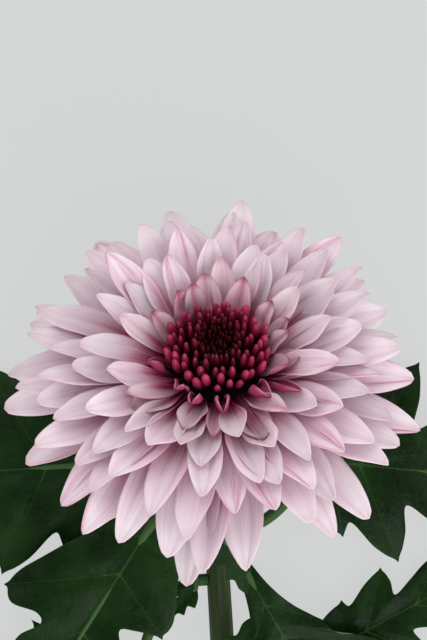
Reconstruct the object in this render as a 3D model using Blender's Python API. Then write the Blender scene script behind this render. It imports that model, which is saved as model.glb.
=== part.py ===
"""A pompon chrysanthemum, cut with a short stem and laid on a table.

The table is z = 0. The stem runs along Y with its cut end at -Y, and its neck bends so that the bloom faces
up and away from the cut end. Sizes are in millimetres, which MM turns into Blender's metres.
"""

import math
import random

import bmesh
import bpy
import numpy as np
from mathutils import Matrix, Vector

MM = 0.001
SEED = 11

# The bloom, in its own frame: Z along its axis, origin at the base of the head
AXIS_ELEVATION = math.radians(50)
BASE_HEIGHT = 34.5
BASE_Y = 104.0
HEAD_RADIUS = 11.5
HEAD_HEIGHT = 7.5
GOLDEN_ANGLE = math.radians(137.508)

# Ray petals, from the innermost (0) to the outermost (1)
PETAL_COUNT = 130
TIP_ANGLE = (47.0, 101.0)
TIP_DISTANCE = (21.0, 55.0)
PETAL_WIDTH = (4.6, 11.6)
PETAL_BEND = (-46.0, 24.0)
PETAL_CUP = (66.0, 30.0)
PETAL_THICKNESS = 0.8
FAR_SIDE_LIFT = 8.0
FAR_SIDE_REACH = 0.025
NEAR_SIDE_REACH = -0.02
RIGHT_SIDE_REACH = -0.05

# The innermost petals, short and often rolled: azimuth, the tip's radius and height, width, cup and bend
INNER_PETALS = (
    (218, 16.6, 15.2, 10.4, 150, -20),
    (254, 18.6, 13.2, 8.0, 150, -10),
    (201, 19.0, 13.2, 9.6, 150, -25),
    (176, 19.4, 12.6, 12.0, 155, -20),
    (139, 20.0, 12.8, 12.0, 150, 10),
    (120, 24.0, 11.6, 8.4, 155, -5),
    (20, 18.8, 20.2, 7.8, 48, -30),
    (49, 17.4, 18.4, 6.4, 60, -25),
    (79, 17.8, 16.6, 6.4, 62, -25),
    (299, 18.4, 17.6, 7.6, 52, -30),
    (323, 18.8, 19.0, 7.0, 56, -30),
    (338, 17.8, 19.6, 6.6, 58, -25),
    (69, 20.0, 17.0, 7.0, 62, -25),
    (108, 19.0, 15.0, 9.4, 84, -20),
    (351, 20.4, 19.0, 8.4, 50, -30),
    (96, 21.5, 13.0, 8.4, 66, -25),
    (183, 25.5, 9.5, 7.4, 105, -15),
    (200, 24.0, 10.0, 9.4, 72, -25),
    (232, 26.4, 10.5, 10.6, 52, -20),
    (156, 27.4, 9.2, 11.0, 48, -15),
)

# Centre florets, on their own button above the head
FLORET_COUNT = 88
CORE_SHARE = 0.5
CORE_RADIUS = 6.4
RING_RADIUS = 13.8
TIP_HEIGHT = 19.4
NEAR_SIDE_DROP = 2.4
BUTTON_RADIUS = 8.0
BUTTON_BASE = HEAD_HEIGHT + 0.3
BUTTON_TOP = 13.0
FLORET_ROOM = 0.9

# Calyx and stem
CALYX_DEPTH = 9.0
BRACT_ROWS = ((9, -7.4, -3.0, 6.0), (13, -4.6, -0.6, 8.6))
NECK_RADIUS = 2.7
STEM_RADIUS = 3.2
NECK_STRAIGHT = 16.0
STEM_LENGTH = 225.0
SEAT_GAP = 0.3

LEAF_THICKNESS = 0.8

GREEN_STEM = (0.05, 0.12, 0.02, 1.0)
GREEN_LEAF = (0.012, 0.035, 0.010, 1.0)
PALE_PINK = (0.68, 0.50, 0.57, 1.0)
CRIMSON = (0.18, 0.010, 0.035, 1.0)

TILT = math.pi / 2 - AXIS_ELEVATION
AXIS = Vector((0, math.cos(AXIS_ELEVATION), math.sin(AXIS_ELEVATION)))
BASE = Vector((0, BASE_Y, BASE_HEIGHT))


# Small helpers

def mix(ends, share):
    """The value at a share of the way between two ends."""
    return ends[0] + (ends[1] - ends[0]) * share


def smooth(share):
    """An ease from 0 to 1, with flat ends."""
    share = np.clip(share, 0, 1)
    return share * share * (3 - 2 * share)


def off_table(height, lowest, softness=1.6):
    """A height pressed up to the table's level, gently, where it would sink under it."""
    return 0.5 * (height + lowest + np.sqrt((height - lowest) ** 2 + softness**2))


def to_table(points):
    """Points of the bloom's own frame, in the table's frame."""
    x, y, z = points[..., 0], points[..., 1], points[..., 2]
    sine, cosine = math.sin(AXIS_ELEVATION), math.cos(AXIS_ELEVATION)
    return np.stack([x, BASE_Y + z * cosine + y * sine, BASE_HEIGHT + z * sine - y * cosine], axis=-1)


def new_object(name, mesh, collection, material=None):
    obj = bpy.data.objects.new(name, mesh)
    collection.objects.link(obj)
    if material:
        obj.data.materials.append(material)
    return obj


def mesh_of(name, points, faces):
    """A mesh from points in millimetres, with its faces turned outwards."""
    mesh = bpy.data.meshes.new(name)
    mesh.from_pydata([tuple(MM * c for c in p) for p in points], [], faces)
    shape = bmesh.new()
    shape.from_mesh(mesh)
    bmesh.ops.recalc_face_normals(shape, faces=shape.faces)
    shape.to_mesh(mesh)
    shape.free()
    return mesh


def principled(name, colour, roughness):
    material = bpy.data.materials.new(name)
    material.use_nodes = True
    shader = material.node_tree.nodes["Principled BSDF"]
    shader.inputs["Base Color"].default_value = colour
    shader.inputs["Roughness"].default_value = roughness
    return material


def drop_scraps(mesh):
    """Removes every loose body but the largest."""
    shape = bmesh.new()
    shape.from_mesh(mesh)
    left = set(shape.verts)
    bodies = []
    while left:
        front = [left.pop()]
        body = list(front)
        while front:
            for edge in front.pop().link_edges:
                for vert in edge.verts:
                    if vert in left:
                        left.remove(vert)
                        front.append(vert)
                        body.append(vert)
        bodies.append(body)
    bodies.sort(key=len)
    for body in bodies[:-1]:
        bmesh.ops.delete(shape, geom=body, context="VERTS")
    shape.to_mesh(mesh)
    shape.free()


def cut_or_join(obj, operation, others):
    """One Boolean on a collection of other objects, applied, with those objects then removed."""
    group = bpy.data.collections.new(obj.name + "_others")
    bpy.context.scene.collection.children.link(group)
    for other in others:
        for holder in list(other.users_collection):
            holder.objects.unlink(other)
        group.objects.link(other)
    modifier = obj.modifiers.new("boolean", "BOOLEAN")
    modifier.operation = operation
    modifier.operand_type = "COLLECTION"
    modifier.collection = group
    modifier.solver = "MANIFOLD"
    graph = bpy.context.evaluated_depsgraph_get()
    made = bpy.data.meshes.new_from_object(obj.evaluated_get(graph))
    obj.modifiers.clear()
    obj.data = made
    for other in others:
        bpy.data.objects.remove(other)
    bpy.data.collections.remove(group)
    drop_scraps(made)
    return obj


def turned(name, profile, steps, collection):
    """A solid turned round Z in the bloom's frame, from (radius, height) points that run downwards."""
    points, faces = [], []
    for radius, height in profile:
        for i in range(steps):
            turn = 2 * math.pi * i / steps
            points.append((radius * math.cos(turn), radius * math.sin(turn), height))
    for row in range(len(profile) - 1):
        for i in range(steps):
            j = (i + 1) % steps
            faces.append([row * steps + i, row * steps + j, (row + 1) * steps + j, (row + 1) * steps + i])
    faces.append(list(range(steps)))
    last = (len(profile) - 1) * steps
    faces.append([last + i for i in reversed(range(steps))])
    return new_object(name, mesh_of(name, to_table(np.array(points)), faces), collection)


# Ray petals

def petal_rule(index, rng):
    """The measures of one ray petal. Azimuth 0 is the bloom's +Y, the side that lies towards the table."""
    share = index / (PETAL_COUNT - 1)
    azimuth = index * GOLDEN_ANGLE + math.radians(rng.uniform(-6, 6))
    angle = mix(TIP_ANGLE, share) + rng.uniform(-4, 4)
    angle -= FAR_SIDE_LIFT * math.cos(azimuth)
    distance = mix(TIP_DISTANCE, share**0.66) * rng.uniform(0.95, 1.05)
    distance *= 1 + FAR_SIDE_REACH * max(math.cos(azimuth), 0) + NEAR_SIDE_REACH * max(-math.cos(azimuth), 0)
    distance *= 1 + RIGHT_SIDE_REACH * math.sin(azimuth)
    tip = (distance * math.sin(math.radians(angle)), distance * math.cos(math.radians(angle)))
    blunt = 0.0
    root = (mix((8.2, 9.2), share), mix((HEAD_HEIGHT - 1.3, 1.6), share))
    width = mix(PETAL_WIDTH, 1 - (1 - share) ** 4) * rng.uniform(0.92, 1.08)
    bend = mix(PETAL_BEND, share**0.6) + rng.uniform(-10, 10)
    cup = mix(PETAL_CUP, share**0.7) + 45 * (1 - share) * rng.random() ** 4
    if index < len(INNER_PETALS):
        turn, *tip, width, cup, bend = INNER_PETALS[index]
        azimuth = math.radians(turn)
        blunt = 0.15
    return {
        "azimuth": azimuth,
        "root": root,
        "lean": math.atan2(tip[0] - root[0], tip[1] - root[1]),
        "length": math.hypot(tip[0] - root[0], tip[1] - root[1]) * 1.04,
        "width": width,
        "bend": math.radians(bend),
        "cup": math.radians(min(cup, 108)),
        "twist": math.radians(rng.uniform(-12, 12)),
        "sway": rng.uniform(-0.08, 0.08),
        "tip": rng.uniform(0.40, 0.64) - blunt,
        "room": 0.2 * (index % 4),
        "claw": mix((0.08, 0.04), share),
    }


def half_width(along, tip):
    """A petal's half width along its length, as a share of the widest: a narrow claw, then a point."""
    claw = 0.18 + 0.82 * smooth(along / 0.62)
    late = (along - 0.6) / 0.4
    point = np.clip(1 - late**2, 0, 1) ** tip * (1 - 0.2 * smooth((late - 0.4) / 0.6))
    return np.where(along < 0.6, claw, claw * point)


def petal_surface(petal, along, across):
    """Points of the petal's middle surface in the bloom's frame, for shares along it and across (-1 to 1)."""
    steps = np.linspace(0, 1, 41)
    heading = petal["lean"] + petal["bend"] * (steps - 0.5)
    radial = np.concatenate([[0], np.cumsum(0.5 * (np.sin(heading[1:]) + np.sin(heading[:-1]))) / 40])
    axial = np.concatenate([[0], np.cumsum(0.5 * (np.cos(heading[1:]) + np.cos(heading[:-1]))) / 40])
    here = np.interp(along, steps, heading)
    out = petal["root"][0] + petal["length"] * np.interp(along, steps, radial)
    up = petal["root"][1] + petal["length"] * np.interp(along, steps, axial)
    half = 0.5 * petal["width"] * half_width(along, petal["tip"])
    cup = np.minimum(petal["cup"] * (1.35 - 0.5 * along), 2.9)
    sideways = half * np.sin(cup * across) / cup
    inwards = half * (1 - np.cos(cup * across)) / cup
    turn = petal["twist"] * along
    side = sideways * np.cos(turn) - inwards * np.sin(turn) + petal["sway"] * petal["length"] * along**2
    rise = sideways * np.sin(turn) + inwards * np.cos(turn)
    out = out - rise * np.cos(here)
    up = up + rise * np.sin(here)
    sine, cosine = math.sin(petal["azimuth"]), math.cos(petal["azimuth"])
    return np.stack([out * sine + side * cosine, out * cosine - side * sine, up], axis=-1)


def centre_room(height):
    """The radius at each height that parts the petals from the centre florets, like the inside of a bowl."""
    height = np.maximum(height - HEAD_HEIGHT, 0)
    return 10.2 + 4.5 * (1 - np.exp(-height / 2.6)) + 0.07 * height


def clear_of_centre(points, room):
    """Petal points kept out of the cone that holds the centre florets."""
    radius = np.hypot(points[..., 0], points[..., 1])
    least = centre_room(points[..., 2]) + room
    moved = points.copy()
    moved[..., :2] *= (off_table(radius, least, 0.6) / radius)[..., None]
    return moved


def petal_grid(petal, alongs, acrosses):
    """The petal's middle surface on the table, clear of the centre and of the table's level."""
    along, across = np.meshgrid(alongs, acrosses, indexing="ij")
    points = petal_surface(petal, along, across)
    weight = smooth(along / 0.25)[..., None]
    points = to_table(points + (clear_of_centre(points, petal["room"]) - points) * weight)
    points[..., 2] = off_table(points[..., 2], 0.0)
    return points


def petal_mesh(petal, name):
    """A blade with a lens section: two margins, a ridge above and a keel below, run out to a point."""
    stations = (petal["claw"], 0.34, 0.64, 0.84, 0.96, 1.0)
    grid = petal_grid(petal, stations, (-1.0, 0.0, 1.0))
    down_petal = np.gradient(grid[:, 1], axis=0)
    over_petal = grid[:, 2] - grid[:, 0]
    over_petal[-1] = over_petal[-2]
    lift = np.cross(over_petal, down_petal)
    lift *= 0.5 * PETAL_THICKNESS / np.linalg.norm(lift, axis=1)[:, None]
    points = []
    for row in range(5):
        points += [grid[row, 0], grid[row, 1] + lift[row], grid[row, 2], grid[row, 1] - lift[row]]
    points.append(grid[5, 1])
    faces = [[0, 1, 2], [0, 2, 3]]
    for row in range(4):
        for i in range(4):
            j = (i + 1) % 4
            faces.append([4 * row + i, 4 * row + j, 4 * row + 4 + j, 4 * row + 4 + i])
    for i in range(4):
        faces.append([16 + i, 16 + (i + 1) % 4, 20])
    return mesh_of(name, points, faces)


def under_table(collection):
    """A slab under the table's level, as a cutter that leaves the resting petals a flat spot."""
    bpy.ops.mesh.primitive_cube_add(size=1, location=(0, 0.1, -0.01))
    slab = bpy.context.object
    slab.name = "under_table"
    slab.scale = (0.4, 0.4, 0.02)
    bpy.ops.object.transform_apply(location=True, rotation=False, scale=True)
    return slab


def make_petals(collection, material):
    rng = random.Random(SEED)
    head = turned(
        "ray_petals",
        [
            (HEAD_RADIUS - 1.8, HEAD_HEIGHT),
            (HEAD_RADIUS, 4.2),
            (HEAD_RADIUS + 0.3, 1.8),
            (HEAD_RADIUS - 1.5, 0.0),
        ],
        20,
        collection,
    )
    head.data.materials.append(material)
    petals = []
    for index in range(PETAL_COUNT):
        mesh = petal_mesh(petal_rule(index, rng), f"petal_{index:03d}")
        petals.append(new_object(mesh.name, mesh, collection))
    cut_or_join(head, "UNION", petals)
    cut_or_join(head, "DIFFERENCE", [under_table(collection)])
    return head


# Centre florets

def floret_rule(index, count, rng):
    """The measures of one centre floret, from the middle of the button outwards."""
    share = (index + 0.5) / count
    core = min(share / CORE_SHARE, 1)
    ring = max(share - CORE_SHARE, 0) / (1 - CORE_SHARE)
    root = (7.4 * math.sqrt(share), mix((11.6, 8.8), share))
    reach = math.sqrt(core * CORE_RADIUS**2 + ring * (RING_RADIUS**2 - CORE_RADIUS**2))
    reach += rng.uniform(-0.4, 0.4)
    azimuth = index * GOLDEN_ANGLE + math.radians(rng.uniform(-5, 5))
    rise = TIP_HEIGHT - 1.2 * (1 - core) - 1.8 * ring + rng.uniform(-1.1, 1.1)
    rise += NEAR_SIDE_DROP * ring * min(math.cos(azimuth), 0)
    return {
        "azimuth": azimuth,
        "root": root,
        "elbow": (mix((reach, 0.93 * reach), ring), root[1] + 1.6 + rng.uniform(-0.3, 0.3)),
        "tip": (reach, rise),
        "width": (mix((1.1, 1.5), core) + 1.0 * ring) * rng.uniform(0.82, 1.18),
    }


def floret_line(floret, along):
    """Where a floret's middle is at a share of its length, outwards and upwards, and how it leans there."""
    root, elbow, tip = floret["root"], floret["elbow"], floret["tip"]
    line = [
        (1 - along) ** 2 * a + 2 * along * (1 - along) * b + along**2 * c for a, b, c in zip(root, elbow, tip)
    ]
    steer = [(1 - along) * (b - a) + along * (c - b) for a, b, c in zip(root, elbow, tip)]
    return (*line, math.atan2(steer[0], steer[1]))


def floret_mesh(floret, name):
    """A rolled floret as a club with few sides, its tip rounded over."""
    sides = 4
    rings = ((0.0, 0.7), (0.45, 0.85), (0.88, 0.8)) if floret["width"] > 1.7 else ((0.0, 0.7), (0.88, 0.8))
    sine, cosine = math.sin(floret["azimuth"]), math.cos(floret["azimuth"])
    points = []

    for along, size in rings:
        out, up, heading = floret_line(floret, along)
        for i in range(sides):
            turn = 2 * math.pi * i / sides
            side = 0.5 * floret["width"] * size * math.cos(turn)
            rise = 0.5 * floret["width"] * size * math.sin(turn)
            radius = out - rise * math.cos(heading)
            height = up + rise * math.sin(heading)
            points.append((radius * sine + side * cosine, radius * cosine - side * sine, height))
    out, up, heading = floret_line(floret, 1.0)
    points.append((out * sine, out * cosine, up))
    points = within_centre(np.array(points))
    faces = [list(range(sides))]
    for row in range(len(rings) - 1):
        for i in range(sides):
            j = (i + 1) % sides
            faces.append([sides * row + i, sides * row + j, sides * (row + 1) + j, sides * (row + 1) + i])
    last = sides * (len(rings) - 1)
    for i in range(sides):
        faces.append([last + i, last + (i + 1) % sides, last + sides])
    return mesh_of(name, to_table(points), faces)


def within_centre(points):
    """Floret points kept inside the cone that the petals stay out of."""
    radius = np.hypot(points[:, 0], points[:, 1])
    most = centre_room(points[:, 2]) - FLORET_ROOM
    wanted = most - (off_table(most - radius, 0.0, 0.6))
    points[:, :2] *= (np.minimum(wanted, radius) / np.maximum(radius, 0.01))[:, None]
    return points


def make_centre(collection, material):
    rng = random.Random(SEED + 1)
    button = turned(
        "centre_florets",
        [(2.5, BUTTON_TOP), (5.6, 12.6), (7.6, 10.5), (BUTTON_RADIUS, BUTTON_BASE)],
        16,
        collection,
    )
    button.data.materials.append(material)
    florets = []
    for index in range(FLORET_COUNT):
        mesh = floret_mesh(floret_rule(index, FLORET_COUNT, rng), f"floret_{index:03d}")
        florets.append(new_object(mesh.name, mesh, collection))
    cut_or_join(button, "UNION", florets)
    return button


# Calyx

def make_calyx(collection, material):
    """The green cup under the head, with rows of small bracts pressed to it."""
    cup = turned(
        "calyx",
        [
            (HEAD_RADIUS - 2.2, -SEAT_GAP),
            (HEAD_RADIUS - 2.6, -2.5),
            (7.2, -5.5),
            (4.4, -7.8),
            (NECK_RADIUS + 0.5, -CALYX_DEPTH),
        ],
        18,
        collection,
    )
    cup.data.materials.append(material)
    bracts = []
    for row, (count, low, high, radius) in enumerate(BRACT_ROWS):
        for i in range(count):
            turn = 2 * math.pi * (i + 0.5 * (row % 2)) / count
            bracts.append(bract(f"bract_{row}_{i}", turn, low, high, radius, collection))
    return cut_or_join(cup, "UNION", bracts)


def bract(name, turn, low, high, radius, collection):
    """One small pointed scale, lying up the cup's side."""
    middle = (low + high) / 2
    shape = ((-1.1, low, -2.2), (1.1, low, -2.2), (1.9, middle, -0.6), (0.0, high, 0.3), (-1.9, middle, -0.6))
    outer = [(radius + depth + 0.7, side, height) for side, height, depth in shape]
    inner = [(radius + depth - 1.2, side, height) for side, height, depth in shape]
    count = len(shape)
    faces = [list(range(count)), list(range(count, 2 * count))]
    for i in range(count):
        j = (i + 1) % count
        faces.append([i, j, count + j, count + i])
    sine, cosine = math.sin(turn), math.cos(turn)
    points = [(r * sine + s * cosine, r * cosine - s * sine, h) for r, s, h in outer + inner]
    return new_object(name, mesh_of(name, to_table(np.array(points)), faces), collection)


# Stem

NECK_HEIGHT = BASE_HEIGHT - NECK_STRAIGHT * math.sin(AXIS_ELEVATION) - STEM_RADIUS
BEND_RADIUS = NECK_HEIGHT / (1 - math.cos(AXIS_ELEVATION))
BEND_LENGTH = BEND_RADIUS * AXIS_ELEVATION


def stem_point(length):
    """The middle of the stem at a length below the bloom: a straight neck, a bend, then along the table."""
    straight = min(length, NECK_STRAIGHT)
    point = BASE - AXIS * straight
    if length > NECK_STRAIGHT:
        turned_by = min((length - NECK_STRAIGHT) / BEND_RADIUS, AXIS_ELEVATION)
        left = AXIS_ELEVATION - turned_by
        point += Vector(
            (
                0,
                BEND_RADIUS * (math.sin(left) - math.sin(AXIS_ELEVATION)),
                BEND_RADIUS * (math.cos(AXIS_ELEVATION) - math.cos(left)),
            )
        )
    run = max(length - NECK_STRAIGHT - BEND_LENGTH, 0)
    point += Vector((2.2 * math.sin(run / 34), -run, 0))
    return point


def stem_radius(length):
    return mix((NECK_RADIUS, STEM_RADIUS), float(smooth(length / 90)))


def tube(name, points, radii, sides_resolution, collection, material=None):
    """A tube with filled caps along points, as a mesh whose caps are welded."""
    curve = bpy.data.curves.new(name, "CURVE")
    curve.dimensions = "3D"
    curve.bevel_depth = MM
    curve.bevel_resolution = sides_resolution
    curve.use_fill_caps = True
    spline = curve.splines.new("POLY")
    spline.points.add(len(points) - 1)
    for knot, point, radius in zip(spline.points, points, radii):
        knot.co = (*(MM * c for c in point), 1)
        knot.radius = radius
    guide = new_object(name, curve, collection)
    graph = bpy.context.evaluated_depsgraph_get()
    mesh = bpy.data.meshes.new_from_object(guide.evaluated_get(graph))
    bpy.data.objects.remove(guide)
    shape = bmesh.new()
    shape.from_mesh(mesh)
    bmesh.ops.remove_doubles(shape, verts=shape.verts, dist=0.00001)
    bmesh.ops.recalc_face_normals(shape, faces=shape.faces)
    shape.to_mesh(mesh)
    shape.free()
    return new_object(name, mesh, collection, material)


def make_stem(collection, material):
    start = CALYX_DEPTH + SEAT_GAP
    count = 24
    lengths = [start + (STEM_LENGTH - start) * i / (count - 1) for i in range(count)]
    points = [stem_point(s) for s in lengths]
    return tube("stem", points, [stem_radius(s) for s in lengths], 2, collection, material)


# Leaves: the stalk's root on the stem, the blade's start and heading, then its size and lie

LEAVES = {
    "leaf_left": dict(
        root=47, start=(-32, -22.8, 9), heading=184, length=80, sides=(0.86, 0.86), pitch=-4, fold=8
    ),
    "leaf_lower_left": dict(
        root=34, start=(-18, -38.8, 18), heading=238, length=74, sides=(0.88, 0.9), pitch=-7, fold=8, broad=1
    ),
    "leaf_right": dict(
        root=52, start=(26, -21.8, 8), heading=-6, length=72, sides=(0.85, 0.98), pitch=-3, fold=8
    ),
    "leaf_lower_right": dict(
        root=88, start=(31, -73.8, 4), heading=28, length=61, sides=(0.6, 0.52), pitch=1, fold=8
    ),
    "leaf_near_right": dict(
        root=41, start=(6, -48.8, 12.5), heading=-60, length=80, sides=(0.9, 0.9), pitch=-5, fold=10, wedge=1
    ),
    "leaf_near_left": dict(
        root=66, start=(-20, -72.8, 4), heading=198, length=56, sides=(0.9, 0.9), pitch=0, fold=5, wedge=1
    ),
    "leaf_small_right": dict(
        root=29, start=(2, -42.8, 19), heading=-68, length=16, sides=(0.9, 0.9), pitch=-8, fold=10, small=1
    ),
    "leaf_small_left": dict(
        root=60, start=(-6, -56.8, 7), heading=226, length=12, sides=(0.9, 0.9), pitch=0, fold=10, small=1
    ),
    "leaf_over_stem": dict(
        root=96, start=(2, -82.8, 13.5), heading=68, length=21, sides=(1.0, 1.0), pitch=6, fold=6, small=1
    ),
}

# Rows of a leaf, as shares of its length: where a row leaves the midrib, how far along it ends, how far out
ROWS = (
    (0.00, -0.01, 0.05),
    (0.01, -0.03, 0.18),
    (0.03, 0.05, 0.28),
    (0.06, 0.14, 0.31),
    (0.10, 0.17, 0.26),
    (0.14, 0.27, 0.36),
    (0.18, 0.36, 0.40),
    (0.22, 0.38, 0.29),
    (0.27, 0.37, 0.16),
    (0.33, 0.46, 0.21),
    (0.38, 0.56, 0.28),
    (0.43, 0.64, 0.28),
    (0.50, 0.63, 0.18),
    (0.56, 0.65, 0.10),
    (0.63, 0.74, 0.13),
    (0.70, 0.83, 0.14),
    (0.80, 0.91, 0.07),
)

# A leaf with a long wedge of a base has its lowest rows drawn out
WEDGE_ROWS = (
    (0.00, 0.02, 0.03),
    (0.06, 0.12, 0.05),
    (0.12, 0.22, 0.09),
    (0.17, 0.31, 0.15),
    (0.22, 0.38, 0.18),
    (0.26, 0.42, 0.24),
    (0.30, 0.48, 0.30),
    (0.34, 0.50, 0.22),
    (0.38, 0.50, 0.13),
    (0.43, 0.57, 0.19),
    (0.48, 0.65, 0.24),
    (0.53, 0.67, 0.17),
    (0.58, 0.67, 0.09),
    (0.64, 0.75, 0.12),
    (0.71, 0.83, 0.13),
    (0.80, 0.91, 0.07),
)

# A broad leaf has a rounded first lobe, further out on its right than on its left
BROAD_ROWS = (
    (0.00, -0.01, 0.06),
    (0.01, 0.03, 0.13),
    (0.05, 0.12, 0.19),
    (0.09, 0.21, 0.25),
    (0.13, 0.31, 0.31),
    (0.17, 0.40, 0.36),
    (0.21, 0.47, 0.37),
    (0.25, 0.52, 0.32),
    (0.30, 0.50, 0.21),
    (0.36, 0.53, 0.17),
    (0.42, 0.61, 0.22),
    (0.47, 0.68, 0.21),
    (0.53, 0.70, 0.13),
    (0.60, 0.72, 0.08),
    (0.66, 0.78, 0.11),
    (0.72, 0.86, 0.10),
    (0.82, 0.92, 0.06),
)
BROAD_LEFT = (
    (-0.01, 0.07),
    (0.03, 0.14),
    (0.08, 0.19),
    (0.15, 0.23),
    (0.22, 0.27),
    (0.28, 0.29),
    (0.33, 0.27),
    (0.36, 0.18),
    (0.39, 0.12),
    (0.45, 0.17),
    (0.52, 0.24),
    (0.59, 0.25),
    (0.63, 0.17),
    (0.67, 0.10),
    (0.74, 0.13),
    (0.83, 0.12),
    (0.91, 0.06),
)

# A small leaf near a bud has three lobes
SMALL_ROWS = (
    (0.00, -0.01, 0.05),
    (0.05, 0.12, 0.22),
    (0.18, 0.32, 0.32),
    (0.30, 0.42, 0.17),
    (0.42, 0.61, 0.25),
    (0.58, 0.69, 0.12),
    (0.75, 0.86, 0.10),
)


def leaf_rows(leaf):
    """The rows of points across a leaf's blade, in millimetres along its midrib and out from it."""
    rows = WEDGE_ROWS if leaf.get("wedge") else SMALL_ROWS if leaf.get("small") else ROWS
    left_side = None
    if leaf.get("broad"):
        rows, left_side = BROAD_ROWS, BROAD_LEFT
    size = leaf["length"]
    made = []
    for number, (root, along, out) in enumerate(rows):
        right = (along * size, -out * size * leaf["sides"][0])
        if left_side:
            along, out = left_side[number]
        left = (along * size, out * size * leaf["sides"][1])
        made.append((right, (root * size, 0.0), left))
    return made


def leaf_frame(leaf, start):
    """The blade's surface as a function: millimetres along the midrib and sideways give a point."""
    heading = math.radians(leaf["heading"])
    forward = np.array([math.cos(heading), math.sin(heading), 0])
    side = np.array([-math.sin(heading), math.cos(heading), 0])
    up = np.array([0.0, 0.0, 1.0])

    def place(x, y, lift=0.0):
        share = x / leaf["length"]
        pitch = math.radians(leaf["pitch"] - 4 * share)
        rise = x * math.sin(pitch) + abs(y) * math.sin(math.radians(leaf["fold"])) - 0.009 * y * y + lift
        point = start + forward * (x * math.cos(pitch)) + side * y + up * rise
        point[2] = off_table(point[2], LEAF_THICKNESS / 2 + 0.2 + lift)
        return point

    return place


def leaf_mesh(name, leaf, place):
    """The lobed blade: a row of points across it at each step of the margin, alike above and below."""
    half = LEAF_THICKNESS / 2
    rows = leaf_rows(leaf)
    across = 3
    points = []
    for lift in (half, -half):
        points += [place(x, y, lift) for row in rows for x, y in row]
        points.append(place(leaf["length"], 0.0, lift))
    layer = across * len(rows) + 1
    faces = []
    for row in range(len(rows) - 1):
        for i in range(across - 1):
            a = row * across + i
            b, c, d = a + 1, a + across + 1, a + across
            halves = ([a, b, c], [a, c, d]) if i < across // 2 else ([a, b, d], [b, c, d])
            for face in halves:
                faces.append(face)
                faces.append([layer + k for k in reversed(face)])
    last = (len(rows) - 1) * across
    for i in range(across - 1):
        faces.append([last + i, last + i + 1, layer - 1])
        faces.append([layer + last + i + 1, layer + last + i, 2 * layer - 1])
    rim = [row * across for row in range(len(rows))] + [layer - 1]
    rim += [row * across + across - 1 for row in reversed(range(len(rows)))] + list(range(across - 2, 0, -1))
    for i, first in enumerate(rim):
        second = rim[(i + 1) % len(rim)]
        faces.append([first, second, layer + second])
        faces.append([first, layer + second, layer + first])
    return mesh_of(name, points, faces)


def make_leaf(name, leaf, collection, material):
    start = np.array([leaf["start"][0], BASE_Y + leaf["start"][1], leaf["start"][2]], float)
    place = leaf_frame(leaf, start)
    blade = new_object(name, leaf_mesh(name, leaf, place), collection, material)
    middle = np.array(stem_point(leaf["root"]))
    along = np.array(stem_point(leaf["root"] + 1) - stem_point(leaf["root"] - 1))
    along /= np.linalg.norm(along)
    outwards = start - middle
    outwards -= along * outwards.dot(along)
    outwards /= np.linalg.norm(outwards)
    thick = mix((0.6, 1.5), min(leaf["length"] / 60, 1))
    root = middle + outwards * (stem_radius(leaf["root"]) + SEAT_GAP)
    elbow = root + outwards * 1.2 * thick
    bend = elbow + outwards * 0.4 * np.linalg.norm(start - elbow)
    points, radii = [root], [thick * 1.15]
    steps = 2 if leaf.get("small") else 4
    for i in range(steps):
        share = i / steps
        points.append((1 - share) ** 2 * elbow + 2 * share * (1 - share) * bend + share**2 * start)
        radii.append(thick * (1.15 - 0.15 * share))
    for share in (0.0, 0.25, 0.6):
        points.append(place(share * leaf["length"], 0.0, -0.35))
        radii.append(thick * (1 - share) * 0.85)
    for point, radius in zip(points[2:], radii[2:]):
        point[2] = max(point[2], radius + 0.1)
    stalk = tube(name + "_stalk", points, radii, 1, collection)
    return cut_or_join(blade, "UNION", [stalk])


def centre_on_box(objects):
    """Moves everything so that the origin is the middle of the foot of the box round it all."""
    corners = np.array([obj.matrix_world @ vert.co for obj in objects for vert in obj.data.vertices])
    low, high = corners.min(axis=0), corners.max(axis=0)
    shift = Matrix.Translation((-(low[0] + high[0]) / 2, -(low[1] + high[1]) / 2, -low[2]))
    for obj in objects:
        obj.data.transform(shift)


def main():
    for obj in list(bpy.data.objects):
        bpy.data.objects.remove(obj)
    flower = bpy.data.collections.new("chrysanthemum")
    bpy.context.scene.collection.children.link(flower)
    pink = principled("petal_pink", PALE_PINK, 0.55)
    crimson = principled("floret_crimson", CRIMSON, 0.5)
    green = principled("stem_green", GREEN_STEM, 0.5)
    dark_green = principled("leaf_green", GREEN_LEAF, 0.4)
    make_petals(flower, pink)
    make_centre(flower, crimson)
    make_calyx(flower, green)
    make_stem(flower, green)
    for name, leaf in LEAVES.items():
        make_leaf(name, leaf, flower, dark_green)
    centre_on_box(list(flower.objects))


main()
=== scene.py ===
"""A pompon chrysanthemum laid on a pale table, seen from above."""

import math
import random

import bpy
import numpy as np
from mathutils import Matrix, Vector


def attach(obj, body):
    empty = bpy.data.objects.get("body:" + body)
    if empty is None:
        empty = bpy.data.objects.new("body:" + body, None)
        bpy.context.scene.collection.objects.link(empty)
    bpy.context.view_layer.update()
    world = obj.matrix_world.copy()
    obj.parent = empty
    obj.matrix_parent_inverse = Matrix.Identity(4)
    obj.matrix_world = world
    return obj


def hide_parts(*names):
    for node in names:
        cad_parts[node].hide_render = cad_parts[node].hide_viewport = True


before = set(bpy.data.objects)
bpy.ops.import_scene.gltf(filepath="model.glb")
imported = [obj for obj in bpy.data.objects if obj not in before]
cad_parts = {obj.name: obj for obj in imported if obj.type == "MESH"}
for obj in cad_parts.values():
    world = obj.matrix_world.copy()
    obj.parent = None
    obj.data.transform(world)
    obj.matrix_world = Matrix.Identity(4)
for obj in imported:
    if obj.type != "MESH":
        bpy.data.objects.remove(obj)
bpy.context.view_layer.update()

MM = 0.001
SEED = 11
WHITE = (1.0, 1.0, 1.0)

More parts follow.
